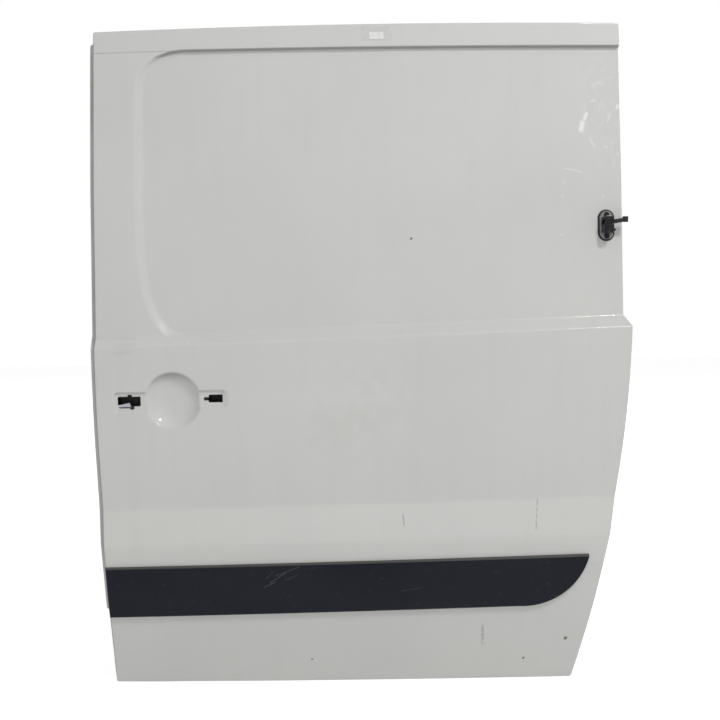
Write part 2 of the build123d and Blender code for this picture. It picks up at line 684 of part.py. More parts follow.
def hinge_yoke():
    """Cast fork on a winged foot on the hinge plate, with an ear above and an ear below the arm."""
    low_z = BAR_Z - BAR_HEIGHT / 2 - EAR_GAP - LOWER_EAR
    high_z = BAR_Z + BAR_HEIGHT / 2 + EAR_GAP + UPPER_EAR
    plan = Pos(HINGE_X, pin_y) * Circle(EAR_R)
    plan += Pos(HINGE_X, pin_y + PIN_STAND_OFF / 2) * Rectangle(2 * EAR_R, PIN_STAND_OFF)
    fork = extrude(Plane.XY.offset(low_z) * plan, high_z - low_z)
    front = hinge_plane().offset(GASKET_THICK + PLATE_THICK)
    fork = fork & extrude(front * Rectangle(REACH, REACH), REACH)
    fork = fork + extrude(front * make_face(Polyline(*YOKE_FOOT, close=True)), YOKE_FOOT_THICK)
    gap = slab(
        HINGE_X - 2 * EAR_R, HINGE_X + 2 * EAR_R, pin_y - 2 * EAR_R,
        hinge_face_y - GASKET_THICK - PLATE_THICK - YOKE_BACK,
        low_z + LOWER_EAR, high_z - UPPER_EAR,
    )
    return fork - gap - peg(HINGE_X, pin_y, low_z, PIN_R + PIN_FIT, high_z - low_z, (0, 0, 1))


def hinge_pin():
    """Pin through both ears, with its head on the upper one."""
    low_z = BAR_Z - BAR_HEIGHT / 2 - EAR_GAP - LOWER_EAR
    high_z = BAR_Z + BAR_HEIGHT / 2 + EAR_GAP + UPPER_EAR
    return peg(HINGE_X, pin_y, low_z, PIN_R, high_z - low_z, (0, 0, 1)) + peg(
        HINGE_X, pin_y, high_z, PIN_HEAD_R, PIN_HEAD, (0, 0, 1)
    )


def hinge_arm():
    """Short cranked arm that swings on the pin, with an eye for the roller carriage at its end."""
    side = Plane(origin=(0, pin_y, 0), x_dir=(1, 0, 0), z_dir=(0, -1, 0))
    crank = (HINGE_X + BAR_CRANK, BAR_Z)
    tip = (HINGE_X + BAR_REACH, BAR_Z + BAR_RISE)
    bars = SlotCenterPoint(((HINGE_X + crank[0]) / 2, BAR_Z), crank, BAR_HEIGHT)
    bars += SlotCenterPoint(((crank[0] + tip[0]) / 2, (crank[1] + tip[1]) / 2), tip, BAR_HEIGHT)
    arm = extrude(side * bars, BAR_DEPTH / 2, both=True)
    arm += peg(HINGE_X, pin_y, BAR_Z - BAR_HEIGHT / 2, BAR_BOSS_R, BAR_HEIGHT, (0, 0, 1))
    arm += peg(tip[0], pin_y, tip[1] - BAR_EYE_HEIGHT / 2, BAR_EYE_R, BAR_EYE_HEIGHT, (0, 0, 1))
    arm -= peg(HINGE_X, pin_y, BAR_Z - BAR_HEIGHT, PIN_R + PIN_FIT, 2 * BAR_HEIGHT, (0, 0, 1))
    return arm - peg(tip[0], pin_y, tip[1] - BAR_EYE_HEIGHT, BAR_EYE_BORE_R, 2 * BAR_EYE_HEIGHT, (0, 0, 1))


front_wall_x = FRONT_X + WALL_INSET
rear_wall_x = REAR_X - WALL_INSET
arm_root_y = INNER_LOW_Y + ARM_BASE_THICK
arm_tip_y = arm_root_y + ARM_LENGTH
arm_top_z = ARM_SEAT_Z + ARM_PLATE
guide_x = (ARM_X - ROLLER_SPACING / 2, ARM_X + ROLLER_SPACING / 2)
guide_y = arm_tip_y - ROLLER_TIP
load_y = arm_tip_y - LOAD_ROLLER_BACK
load_z = arm_top_z + LOAD_ROLLER_R + ROLLER_LIFT
top_tip_y = inner_y(TOP_ARM_Z) + TOP_ARM_LENGTH
hinge_face_y = face_y(HINGE_X, HINGE_Z, RECESS_DEPTH)
pin_y = hinge_face_y - PIN_STAND_OFF
plate_plane = hinge_plane().offset(GASKET_THICK)

nodes = {
    "outer_skin": outer_skin(),
    "inner_panel": inner_panel(),
    "intrusion_beam": tube_between_walls(BEAM_Z, BEAM_HEIGHT, BEAM_FRONT_Y, BEAM_DEPTH),
    "waist_rail": tube_between_walls(WAIST_RAIL_Z, WAIST_RAIL_HEIGHT, WAIST_RAIL_FRONT_Y, WAIST_RAIL_DEPTH),
    "upper_rail": tube_between_walls(
        FLUTTER_RAIL_Z, FLUTTER_RAIL_HEIGHT, FLUTTER_RAIL_FRONT_Y, FLUTTER_RAIL_DEPTH
    ),
    "handle_carrier": handle_carrier(),
    "side_moulding": side_moulding(),
    "front_latch": latch(front_wall_x, FRONT_LATCH, -1),
    "rear_latch": latch(rear_wall_x, REAR_LATCH, 1),
    "upper_locator": locator(UPPER_LOCATOR),
    "lower_locator": locator(LOWER_LOCATOR),
    "upper_bump_stop": bump_stop(UPPER_STOP),
    "lower_bump_stop": bump_stop(LOWER_STOP),
    "lower_roller_arm": lower_roller_arm(),
    "load_roller": roller(ARM_X, load_y, load_z, LOAD_ROLLER_R, LOAD_ROLLER_WIDTH, (0, 1, 0)),
    "front_guide_roller": roller(guide_x[0], guide_y, arm_top_z, ROLLER_R, ROLLER_WIDTH, (0, 0, 1)),
    "rear_guide_roller": roller(guide_x[1], guide_y, arm_top_z, ROLLER_R, ROLLER_WIDTH, (0, 0, 1)),
    "upper_roller_bracket": upper_roller_bracket(),
    "upper_roller": roller(TOP_ARM_X, top_tip_y - ROLLER_TIP, TOP_ARM_Z, ROLLER_R, ROLLER_WIDTH, (0, 0, 1)),
    "hinge_gasket": extrude(hinge_plane() * SlotOverall(*GASKET_SIZE, rotation=90), GASKET_THICK),
    "hinge_plate": extrude(plate_plane * SlotOverall(*PLATE_SIZE, rotation=90), PLATE_THICK),
    "hinge_yoke": hinge_yoke(),
    "hinge_pin": hinge_pin(),
    "hinge_arm": hinge_arm(),
}
for place, x in zip(("front", "middle", "rear"), PLUG_X):
    nodes[f"{place}_plug"] = blanking_plug(x)

seat_y = (arm_root_y + arm_tip_y) / 2
os.makedirs("parts", exist_ok=True)
for name, shape in nodes.items():
    placed = Pos(-ARM_X, -seat_y, -ARM_SEAT_Z) * shape
    export_step(placed, f"parts/{name}.step")
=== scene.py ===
from math import atan, cos, hypot, pi, radians, sin, sqrt

import bmesh
import bpy
from mathutils import Matrix, Vector


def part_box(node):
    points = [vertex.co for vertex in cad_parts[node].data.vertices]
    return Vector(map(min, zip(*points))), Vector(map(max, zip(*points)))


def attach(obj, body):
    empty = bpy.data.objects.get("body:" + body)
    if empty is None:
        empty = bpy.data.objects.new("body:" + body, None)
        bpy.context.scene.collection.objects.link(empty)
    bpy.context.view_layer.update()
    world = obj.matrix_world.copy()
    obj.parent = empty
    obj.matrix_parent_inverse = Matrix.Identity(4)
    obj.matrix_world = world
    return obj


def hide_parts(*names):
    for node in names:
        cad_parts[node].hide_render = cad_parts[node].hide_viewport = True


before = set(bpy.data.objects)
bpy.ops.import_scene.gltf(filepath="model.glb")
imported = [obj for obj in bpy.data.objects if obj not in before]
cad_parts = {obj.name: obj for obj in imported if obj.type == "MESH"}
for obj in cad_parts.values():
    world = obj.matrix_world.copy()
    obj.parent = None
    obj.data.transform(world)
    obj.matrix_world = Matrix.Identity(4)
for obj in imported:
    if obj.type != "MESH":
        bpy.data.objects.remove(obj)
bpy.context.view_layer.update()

# Outer skin: one deep-drawn steel sheet, hemmed over the inner panel all round and sprayed white.
# Its upper half is a blanked window pressed in as a shallow recess that runs out at the rear edge,
# a waist shoulder rises to the rear, and the handle seat is pressed in near the front edge.
skin_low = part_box("outer_skin")[0]
front_x = skin_low[0]
bottom_z = skin_low[2]

MIDDLE = 0.530
# corners of the section as height, depth, bend radius, rise from the middle to the rear, share of the recess
SECTION = (
    (-0.025, 0.0700, 0.0, 0.0, 0.0),
    (0.165, 0.0330, 1.8, 0.0, 0.0),
    (0.322, 0.0085, 0.05, 0.0085, 0.0),
    (0.399, 0.0155, 0.05, 0.0085, 0.0),
    (0.570, -0.0010, 1.5, 0.0, 0.0),
    (0.738, 0.0020, 0.006, 0.016, 0.0),
    (0.758, 0.0180, 0.007, 0.017, 1.0),
    (1.040, 0.0485, 2.5, 0.0, 1.0),
    (1.316, 0.0900, 0.06, 0.0, 1.0),
    (1.385, 0.1040, 0.0, 0.0, 1.0),
)
PLAN_BOW = 0.006
RECESS_FRONT = 0.0865
RECESS_TOP = 1.3167
RECESS_BOTTOM = 0.7440
RECESS_TOP_R = 0.072
RECESS_TOP_BOW = 0.4
RECESS_BOTTOM_RISE = 0.015
RECESS_BEND = 0.32
RECESS_TOP_EASE = 0.28
RECESS_BOTTOM_EASE = 0.55
RECESS_BOTTOM_R = 0.102
RECESS_DEPTH = 0.009
RECESS_FRONT_WALL = 0.0108
RECESS_TOP_WALL = 0.0036
CUP = (0.155, 0.617)
CUP_R = 0.0575
CUP_DEPTH = 0.020
CUP_RIM_BEND = 0.0012
CUP_DISH = 3.6
FRONT_PAD = (0.0375, 0.105, 0.594, 0.634)
REAR_PAD = (0.205, 0.261, 0.604, 0.637)
PAD_DEPTH = 0.0045
PAD_WALL = 0.00144
PAD_BEND = 0.0007
PAD_CORNER_R = 0.008
FRONT_SLOT = (0.045, 0.090, 0.606, 0.626)
FRONT_SLOT_NUBS = (
    (0.0645, 0.0735, 0.610, 0.6295),
    (0.068, 0.0775, 0.5995, 0.612),
    (0.046, 0.070, 0.6025, 0.612),
)
REAR_SLOT = (0.227, 0.255, 0.612, 0.628)
REAR_SLOT_NUBS = ((0.217, 0.230, 0.6165, 0.6235),)
SLOT_CORNER_R = 0.0022
EDGE_ROUND = 0.0022
SHEET = 0.0014
HEM = 0.0036
HEM_WIDTH = 0.014
TOP_FRONT = 1.355
TOP_REAR = 1.360
TOP_ARCH = 0.0055
SHOULDER_REAR = 1.072
UPPER_REAR = 1.060
SWEEP_MID = (1.042, 0.372)
BOTTOM_REAR = 0.973
ARCH_FROM = 1.22
SWEEP_FROM = 0.300
CORNER_R = 0.004


def soft_ramp(run, half):
    """Straight rise of slope one that starts at zero, rounded over half on either side of its start."""
    if run <= -half:
        return 0.0
    if run >= half:
        return run
    return (run + half) ** 2 / (4 * half)


def bow(along):
    """Depth that the plan curve gains at a place along the door."""
    return PLAN_BOW * ((along - MIDDLE) / MIDDLE) ** 2


def section_depth(along, height, sink):
    """Depth of the skin without its seat, with its bends rounded and the upper face sunk by sink."""
    share = (along - MIDDLE) / MIDDLE
    corners = [(z + share * rise, y + sink * part, bend) for z, y, bend, rise, part in SECTION]
    slopes = [(b[1] - a[1]) / (b[0] - a[0]) for a, b in zip(corners, corners[1:])]
    depth = corners[0][1] + slopes[0] * (height - corners[0][0])
    for corner, before, after in zip(corners[1:], slopes, slopes[1:]):
        half = max(corner[2] * abs(atan(after) - atan(before)) / 2, 0.0005)
        depth += (after - before) * soft_ramp(height - corner[0], half)
    return depth + bow(along)


def pressed(inside, wall, bend):
    """Share of a pressing's depth at a distance inside its edge, with both bends of the wall rounded."""
    return (soft_ramp(inside, bend) - soft_ramp(inside - wall, bend)) / wall


def recess_share(along, height):
    """Share of the blanked window's depth: a steep wall under the top strip, an easy one at the front."""
    from_front = along - RECESS_FRONT
    from_top = RECESS_TOP - RECESS_TOP_BOW * bow(along) - height
    from_bottom = height - RECESS_BOTTOM - RECESS_BOTTOM_RISE * (along - MIDDLE) / MIDDLE
    along_top = from_front * (1 - RECESS_TOP_EASE * max(1 - from_top / RECESS_TOP_R, 0.0))
    up_front = from_bottom * (1 - RECESS_BOTTOM_EASE * max(1 - from_front / RECESS_BOTTOM_R, 0.0))
    if along_top < RECESS_TOP_R and from_top < RECESS_TOP_R:
        a, b = RECESS_TOP_R - along_top, RECESS_TOP_R - from_top
        steep = b * b / (a * a + b * b + 1e-9)
        inside = RECESS_TOP_R - hypot(a, b)
    elif from_front < RECESS_BOTTOM_R and up_front < RECESS_BOTTOM_R:
        steep = 0.0
        inside = RECESS_BOTTOM_R - hypot(RECESS_BOTTOM_R - from_front, RECESS_BOTTOM_R - up_front)
    else:
        steep = 1.0 if from_top < from_front else 0.0
        inside = min(from_front, from_top)
    wall = RECESS_FRONT_WALL + (RECESS_TOP_WALL - RECESS_FRONT_WALL) * steep
    return pressed(inside, wall, wall * RECESS_BEND)


def cup_sink(along, height):
    """How far the round cup of the handle seat is pressed in: a dish that is steepest at its rim."""
    inside = soft_ramp(CUP_R - hypot(along - CUP[0], height - CUP[1]), CUP_RIM_BEND)
    return CUP_DEPTH * (1 - (1 - min(inside / CUP_R, 1.0)) ** CUP_DISH)


def pad_sink(along, height, pad):
    """How far one pad beside the cup is pressed in: an oblong with round corners."""
    low, high, bottom, top = pad
    over_x = max(abs(along - (low + high) / 2) - (high - low) / 2 + PAD_CORNER_R, 0.0)
    over_z = max(abs(height - (bottom + top) / 2) - (top - bottom) / 2 + PAD_CORNER_R, 0.0)
    return PAD_DEPTH * pressed(PAD_CORNER_R - hypot(over_x, over_z), PAD_WALL, PAD_BEND)


def skin_depth(along, height):
    """Depth of the finished pressing."""
    plain = section_depth(along, height, 0.0)
    share = recess_share(along, height)
    if share > 0:
        plain += share * (section_depth(along, height, RECESS_DEPTH) - plain)
    if 0.03 < along < 0.27 and 0.55 < height < 0.69:
        plain += max(
            cup_sink(along, height), pad_sink(along, height, FRONT_PAD), pad_sink(along, height, REAR_PAD)
        )
    return plain


def arc_through(start, middle, end):
    """Centre and radius of the circle through three points of an outline."""
    (ax, ay), (bx, by), (cx, cy) = start, middle, end
    d = 2 * (ax * (by - cy) + bx * (cy - ay) + cx * (ay - by))
    a2, b2, c2 = ax * ax + ay * ay, bx * bx + by * by, cx * cx + cy * cy
    ux = (a2 * (by - cy) + b2 * (cy - ay) + c2 * (ay - by)) / d
    uy = (a2 * (cx - bx) + b2 * (ax - cx) + c2 * (bx - ax)) / d
    return ux, uy, hypot(ax - ux, ay - uy)


shoulder_lip = SECTION[5][0] + SECTION[5][3]
shoulder_top = SECTION[6][0] + SECTION[6][3]
sweep = arc_through((SHOULDER_REAR, shoulder_lip), SWEEP_MID, (BOTTOM_REAR, 0.0))
face_y = skin_low[1] - min(section_depth(MIDDLE, 0.50 + 0.01 * step, 0.0) for step in range(24))


def rear_edge(height):
    """Length of the skin at a height: straight above the shoulder, swept forward below it."""
    if height >= shoulder_top:
        return UPPER_REAR
    if height >= shoulder_lip:
        share = (height - shoulder_lip) / (shoulder_top - shoulder_lip)
        return SHOULDER_REAR + (UPPER_REAR - SHOULDER_REAR) * share
    return sweep[0] + sqrt(sweep[2] ** 2 - (height - sweep[1]) ** 2)


def top_edge(along):
    """Height of the arched top edge."""
    share = along / UPPER_REAR
    return TOP_FRONT + (TOP_REAR - TOP_FRONT) * share + TOP_ARCH * 4 * share * (1 - share)


def places(runs):
    """Grid lines from zero: each run ends at a place and is split into a number of steps."""
    lines = [0.0]
    for end, steps in runs:
        start = lines[-1]
        lines += [start + (end - start) * (step + 1) / steps for step in range(steps)]
    return lines


def round_corner(a, b, radius):
    """Distances from two edges, drawn in so that a square corner becomes a round one."""
    if a >= radius or b >= radius:
        return a, b
    u, v = radius - a, radius - b
    shrink = max(u, v) / hypot(u, v)
    return radius - u * shrink, radius - v * shrink


def inside_slot(along, height, slots):
    """True where a slot of the handle seat is cut through; its corners are round."""
    for low, high, bottom, top in slots:
        over_x = max(abs(along - (low + high) / 2) - (high - low) / 2 + SLOT_CORNER_R, 0.0)
        over_z = max(abs(height - (bottom + top) / 2) - (top - bottom) / 2 + SLOT_CORNER_R, 0.0)
        if hypot(over_x, over_z) < SLOT_CORNER_R:
            return True
    return False


# lines are closest at the rim, the slots, the cup, the shoulder and the lip under the top strip
column_lines = places(
    (
        (0.0025, 3), (0.014, 4), (0.040, 9), (0.0975, 40), (0.2145, 52), (0.258, 28), (0.300, 7),
        (1.034, 34), (1.046, 2), (1.0575, 4), (1.060, 3),
    )
)
row_lines = places(
    (
        (0.0025, 3), (0.014, 4), (0.290, 15), (0.345, 12), (0.375, 3), (0.430, 9), (0.555, 7), (0.598, 18),
        (0.632, 26), (0.682, 19), (0.714, 4), (0.784, 44), (0.880, 18), (1.220, 11), (1.300, 15),
        (1.322, 17), (1.341, 3), (1.3525, 4), (1.355, 3),
    )
)
columns = len(column_lines) - 1
rows = len(row_lines) - 1
skin_mesh = bmesh.new()
bmesh.ops.create_grid(skin_mesh, x_segments=columns, y_segments=rows, size=0.5)
rim = skin_mesh.verts.layers.deform.new()
spots = {}
for vert in skin_mesh.verts:
    column = column_lines[round((vert.co.x + 0.5) * columns)]
    row = row_lines[round((vert.co.y + 0.5) * rows)]
    height = row
    if row > ARCH_FROM:
        height = ARCH_FROM + (row - ARCH_FROM) / (TOP_FRONT - ARCH_FROM) * (top_edge(column) - ARCH_FROM)
    length = rear_edge(height)
    along = column
    if column > SWEEP_FROM:
        along = SWEEP_FROM + (column - SWEEP_FROM) / (UPPER_REAR - SWEEP_FROM) * (length - SWEEP_FROM)
    from_top = top_edge(along) - height
    edge = min(along, length - along, height, from_top)
    along, from_top = round_corner(along, from_top, CORNER_R)
    height = top_edge(along) - from_top
    along, height = round_corner(along, height, CORNER_R)
    from_rear, from_top = round_corner(length - along, top_edge(along) - height, CORNER_R)
    along, height = length - from_rear, top_edge(along) - from_top
    from_rear, height = round_corner(length - along, height, CORNER_R)
    along = length - from_rear
    depth = skin_depth(along, height)
    if edge < EDGE_ROUND:
        depth += EDGE_ROUND - sqrt(max(EDGE_ROUND ** 2 - (EDGE_ROUND - edge) ** 2, 0.0))
    vert.co = (front_x + along, face_y + depth, bottom_z + height)
    vert[rim][0] = 1.0 if edge < HEM_WIDTH else 0.0
    spots[vert] = (along, height)
slots = (FRONT_SLOT, *FRONT_SLOT_NUBS, REAR_SLOT, *REAR_SLOT_NUBS)
holes = []
for face in skin_mesh.faces:
    middle = face.calc_center_median()
    if inside_slot(middle.x - front_x, middle.z - bottom_z, slots):
        holes.append(face)
bmesh.ops.delete(skin_mesh, geom=holes, context="FACES")
if sum(face.normal.y for face in skin_mesh.faces) > 0:
    bmesh.ops.reverse_faces(skin_mesh, faces=skin_mesh.faces)
for face in skin_mesh.faces:
    face.smooth = True


def piece(name, shape, body, slot, *nodes):
    """Object made from a finished bmesh, riding on a body and standing for the nodes it is given."""
    data = bpy.data.meshes.new(name)
    shape.to_mesh(data)
    shape.free()
    made = bpy.data.objects.new(name, data)
    bpy.context.scene.collection.objects.link(made)
    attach(made, body)
    if nodes:
        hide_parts(*nodes)
    return made


skin = piece("outer_skin_sheet", skin_mesh, "door", "body_paint", "outer_skin")
hem_group = skin.vertex_groups.new(name="hem")
thickness = skin.modifiers.new("thickness", "SOLIDIFY")
thickness.thickness = HEM
thickness.offset = -1
thickness.vertex_group = hem_group.name
thickness.thickness_vertex_group = SHEET / HEM


def add(tree, kind, inputs=None, **settings):
    """Node of a kind, with its settings and the values or links of its inputs."""
    node = tree.nodes.new(kind)
    for key, value in settings.items():
        setattr(node, key, value)
    for key, value in (inputs or {}).items():
        if isinstance(value, bpy.types.NodeSocket):
            tree.links.new(value, node.inputs[key])
        else:
            node.inputs[key].default_value = value
    return node


def material(name):
    """New material with its tree, its shader and the object coordinates."""
    made = bpy.data.materials.new(name)
    made.use_nodes = True
    tree = made.node_tree
    coords = add(tree, "ShaderNodeTexCoord").outputs["Object"]
    return made, tree, tree.nodes["Principled BSDF"], coords


def noise(tree, coords, scale, detail=3.0, stretch=None):
    """Cloudy value between zero and one, drawn out along an axis if a stretch is given."""
    if stretch:
        coords = add(tree, "ShaderNodeMapping", {"Vector": coords, "Scale": stretch}).outputs[0]
    return add(tree, "ShaderNodeTexNoise", {"Vector": coords, "Scale": scale, "Detail": detail}).outputs[0]


def span(tree, value, low, high, at_low=0.0, at_high=1.0):
    """Value moved from one range into another and held at its ends."""
    inputs = {"Value": value, 1: low, 2: high, 3: at_low, 4: at_high}
    return add(tree, "ShaderNodeMapRange", inputs).outputs["Result"]


def times(tree, a, b):
    """Product of two masks."""
    return add(tree, "ShaderNodeMath", {0: a, 1: b}, operation="MULTIPLY").outputs[0]


def over(tree, under, colour, mask):
    """Colour laid over what is under it, through a mask."""
    return add(tree, "ShaderNodeMix", {0: mask, 6: under, 7: (*colour, 1)}, data_type="RGBA").outputs[2]


def stroke(tree, coords, start, end, width, soft=0.5):
    """Mask of a straight mark on the skin between two places given along the door and in height."""
    a = Vector((front_x + start[0], 0, bottom_z + start[1]))
    b = Vector((front_x + end[0], 0, bottom_z + end[1]))
    flat = add(tree, "ShaderNodeVectorMath", {0: coords, 1: (1, 0, 1)}, operation="MULTIPLY").outputs[0]
    away = add(tree, "ShaderNodeVectorMath", {0: flat, 1: a}, operation="SUBTRACT").outputs[0]
    run = (b - a).normalized()
    reach = add(tree, "ShaderNodeVectorMath", {0: away, 1: run}, operation="DOT_PRODUCT").outputs["Value"]
    held = add(tree, "ShaderNodeClamp", {0: reach, 1: 0.0, 2: (b - a).length}).outputs[0]
    foot = add(tree, "ShaderNodeVectorMath", {0: run, "Scale": held}, operation="SCALE").outputs[0]
    gap = add(tree, "ShaderNodeVectorMath", {0: away, 1: foot}, operation="DISTANCE").outputs["Value"]
    return span(tree, gap, width * soft, width, 1.0, 0.0)


paint, tree, shader, coords = material("worn_white_paint")
place_z = add(tree, "ShaderNodeSeparateXYZ", {0: coords}).outputs["Z"]
facing = add(tree, "ShaderNodeNewGeometry").outputs["Normal"]
faced = add(tree, "ShaderNodeSeparateXYZ", {0: facing})
outside = span(tree, faced.outputs["Y"], -0.1, 0.1, 1.0, 0.0)
cloud = noise(tree, coords, 3.0, 4.0)
mottle = noise(tree, coords, 40.0, 4.0)
fine = noise(tree, coords, 160.0, 4.0)
streaks = noise(tree, coords, 9.0, 4.0, (4.0, 1.0, 0.35))


def marked(under, colour, mask, amount):
    """Paint with one mark on its outer face."""
    return over(tree, under, colour, times(tree, times(tree, mask, outside), amount))


tone = over(tree, (0.600, 0.600, 0.584, 1), (0.572, 0.573, 0.562), span(tree, cloud, 0.35, 0.7))
tone = over(tree, tone, (0.555, 0.553, 0.536), times(tree, span(tree, streaks, 0.52, 0.75), 0.30))
low_dirt = span(tree, place_z, bottom_z, bottom_z + 0.34, 0.12, 0.0)
tone = over(tree, tone, (0.500, 0.492, 0.452), times(tree, low_dirt, span(tree, mottle, 0.2, 0.8, 0.6, 1.0)))
# painted light: a paler band below the upper crease, down to the moulding, where the sheet leans up towards
# the light, with a little road dust
dust_and_band_light = stroke(tree, coords, (-0.050, 0.3197), (1.110, 0.3383), 0.070, 0.97)
tone = marked(tone, (0.640, 0.638, 0.612), dust_and_band_light, 0.3)
# painted shade in the crease of the top strip, in front of the window
crease_shade = stroke(tree, coords, (0.000, 1.3108), (0.165, 1.3135), 0.0018, 0.3)
tone = marked(tone, (0.420, 0.418, 0.405), crease_shade, 0.8)
# painted shade along the folded front edge, where the gap to the inner panel's lip lies in shadow
fold_shade = stroke(tree, coords, (0.0005, 0.020), (0.0005, 1.330), 0.0028, 0.3)
tone = marked(tone, (0.200, 0.190, 0.178), fold_shade, 0.75)
# greasy smear on the belly and finger marks at the waist
smear = stroke(tree, coords, (0.500, 0.560), (0.590, 0.650), 0.120, 0.1)
smear = times(tree, smear, span(tree, mottle, 0.40, 0.65))
tone = marked(tone, (0.530, 0.528, 0.510), smear, 0.35)
FINGER_MARKS = (
    ((0.006, 0.744), (0.080, 0.741), 0.007), ((0.045, 0.727), (0.084, 0.729), 0.007),
    ((0.036, 0.712), (0.078, 0.716), 0.006),
)
for start, end, width in FINGER_MARKS:
    mark = stroke(tree, coords, start, end, width, 0.05)
    mark = times(tree, mark, span(tree, streaks, 0.35, 0.65, 0.3, 1.0))
    tone = marked(tone, (0.470, 0.467, 0.450), mark, 0.28)
# scratches through the top coat, and chips down to rusty steel
SCRATCHED = (
    ((0.613, 0.379), (0.615, 0.354), 0.0018), ((0.779, 0.126), (0.781, 0.079), 0.004),
    ((0.887, 0.403), (0.884, 0.340), 0.0013),
)
for start, end, width in SCRATCHED:
    mark = times(tree, stroke(tree, coords, start, end, width), span(tree, fine, 0.35, 0.55))
    tone = marked(tone, (0.290, 0.285, 0.270), mark, 0.7)
CHIPPED = (
    ((0.635, 0.932), 0.0028), ((0.955, 0.093), 0.0045),
    ((0.420, 0.052), 0.0026), ((0.868, 0.047), 0.0030),
)
for (chip_x, chip_z), radius in CHIPPED:
    mark = stroke(tree, coords, (chip_x, chip_z), (chip_x + 0.001, chip_z + 0.001), radius, 0.6)
    tone = marked(tone, (0.200, 0.165, 0.130), mark, span(tree, fine, 0.3, 0.5, 0.5, 1.0))
# painted highlights: small bright glints where knocks at the upper rear catch the light
PAINTED_GLINTS = (
    ((0.981, 1.146), (0.984, 1.160), 0.0075), ((0.988, 1.168), (0.992, 1.178), 0.0050),
    ((1.002, 1.203), (1.012, 1.205), 0.0032), ((1.055, 1.190), (1.057, 1.193), 0.0050),
    ((1.040, 1.177), (1.035, 1.163), 0.0032), ((0.998, 1.129), (1.007, 1.111), 0.0034),
    ((1.027, 1.113), (1.033, 1.110), 0.0030), ((1.005, 1.234), (1.017, 1.242), 0.0024),
    ((1.017, 1.242), (1.026, 1.236), 0.0020), ((0.945, 1.069), (0.963, 1.066), 0.0022),
    ((0.963, 1.066), (0.981, 1.060), 0.0020), ((0.943, 1.040), (0.944, 1.041), 0.0035),
    ((0.940, 1.014), (0.941, 1.015), 0.0030), ((0.937, 0.936), (0.938, 0.937), 0.0028),
    ((1.052, 1.094), (1.054, 1.100), 0.0030), ((1.042, 1.249), (1.046, 1.251), 0.0025),
    ((1.030, 1.268), (1.026, 1.264), 0.0020), ((1.022, 1.011), (1.023, 1.013), 0.0024),
)
for start, end, width in PAINTED_GLINTS:
    mark = stroke(tree, coords, start, end, width, 0.1)
    tone = marked(tone, (0.900, 0.900, 0.890), mark, 0.30 if width < 0.004 else 0.75)
# a rubbed patch at the upper rear with lighter specks: wear of the paint mixed with painted sparkle of light;
# the patch also carries the dents of the bump below
rubbed_and_sheen = stroke(tree, coords, (1.010, 1.250), (1.035, 1.100), 0.060, 0.2)
sparkle_specks = span(tree, noise(tree, coords, 70.0, 5.0), 0.5, 0.7)
tone = marked(tone, (0.655, 0.655, 0.645), times(tree, rubbed_and_sheen, sparkle_specks), 0.5)
# painted shade on the outer faces that point downwards, such as the lip under the top strip
tone = marked(tone, (0.300, 0.298, 0.285), span(tree, faced.outputs["Z"], -0.80, -0.35, 1.0, 0.0), 0.9)
tree.links.new(tone, shader.inputs["Base Color"])
tree.links.new(span(tree, mottle, 0.2, 0.8, 0.46, 0.54), shader.inputs["Roughness"])
shader.inputs["Specular IOR Level"].default_value = 0.25
shader.inputs["Coat Weight"].default_value = 0.25
shader.inputs["Coat Roughness"].default_value = 0.08
peel = noise(tree, coords, 420.0, 2.0)
ripple = add(tree, "ShaderNodeBump", {"Strength": 0.05, "Distance": 0.0004, "Height": peel})
knocks = times(tree, rubbed_and_sheen, noise(tree, coords, 30.0, 2.0))
dents = {"Strength": 0.15, "Distance": 0.003, "Height": knocks, "Normal": ripple.outputs[0]}
dents = add(tree, "ShaderNodeBump", dents)
tree.links.new(dents.outputs[0], shader.inputs["Normal"])
skin.data.materials.append(paint)

# Inner panel and stiffeners: a pressed steel tub with a flange inside the hem, a seal lip along the
# front, beads and cut-outs, spot-welded to three box rails that run from one shut face to the other.
# It has only a thin coat of the body colour, with primer showing and dust on its ledges.


def finished(name, body, slot, width):
    """Copy of a piece with its facets joined, its edges broken and its curved faces shaded smooth."""
    shape = bmesh.new()
    shape.from_mesh(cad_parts[name].data)
    bmesh.ops.remove_doubles(shape, verts=shape.verts, dist=0.00001)
    bmesh.ops.dissolve_limit(shape, angle_limit=radians(0.5), verts=shape.verts, edges=shape.edges)
    for face in shape.faces:
        face.smooth = True
    for edge in shape.edges:
        edge.smooth = edge.calc_face_angle(0.0) < radians(28)
    made = piece(name + "_finished", shape, body, slot, name)
    broken = made.modifiers.new("broken_edges", "BEVEL")
    broken.width = width
    broken.segments = 2
    broken.limit_method = "ANGLE"
    broken.angle_limit = radians(40)
    broken.harden_normals = True
    return made


def worn(name, colour, worn_colour, scale, rough, metal=0.0, bump=0.0, dust_and_band_light=0.25, grain=300.0):
    """Material of two tones in patches, with uneven gloss, a fine grain and dust on what faces up."""
    made, tree, shader, coords = material(name)
    patches = span(tree, noise(tree, coords, scale, 5.0), 0.42, 0.68)
    tone = over(tree, (*colour, 1), worn_colour, patches)
    facing = add(tree, "ShaderNodeNewGeometry").outputs["Normal"]
    up = add(tree, "ShaderNodeSeparateXYZ", {0: facing}).outputs["Z"]
    settled = times(tree, span(tree, up, 0.3, 1.0), span(tree, noise(tree, coords, 60.0, 4.0), 0.3, 0.7))
    tone = over(tree, tone, (0.33, 0.31, 0.27), times(tree, settled, dust_and_band_light))
    tree.links.new(tone, shader.inputs["Base Color"])
    tree.links.new(span(tree, patches, 0.0, 1.0, rough[0], rough[1]), shader.inputs["Roughness"])
    shader.inputs["Metallic"].default_value = metal
    texture = noise(tree, coords, grain, 3.0)
    relief = add(tree, "ShaderNodeBump", {"Strength": bump, "Distance": 0.0005, "Height": texture})
    tree.links.new(relief.outputs[0], shader.inputs["Normal"])
    return made


